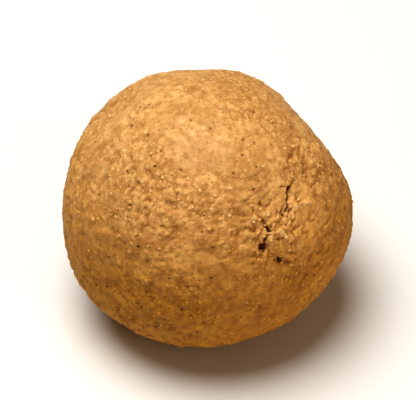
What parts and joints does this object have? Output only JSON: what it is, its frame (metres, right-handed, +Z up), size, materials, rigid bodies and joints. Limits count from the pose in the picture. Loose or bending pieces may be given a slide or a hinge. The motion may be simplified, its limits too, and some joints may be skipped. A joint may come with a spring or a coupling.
{
  "type": "besan ladoo",
  "caption": "Round hand-rolled sweet of roasted gram flour, softly pressed, with a small crack in its skin and a small flat foot to rest on.",
  "frame": {"origin": "on the ground, at the centre of the bounding box's bottom, in the middle of the ball's flat foot", "axes": "+Z up from the foot to the crown, the shortest way across; +X to the right along the widest way across, -Y towards the front, where the crack is at the right"},
  "size_m": [0.0436, 0.0424, 0.0388],
  "materials": {
    "gram_flour_dough": "golden tan roasted gram flour bound with ghee: fine sandy grain with small pores, pale sugar grains and a few brown specks, matt with a faint oily sheen"
  },
  "bodies": {
    "root": {"ladoo": "gram_flour_dough"}
  },
  "joints": []
}
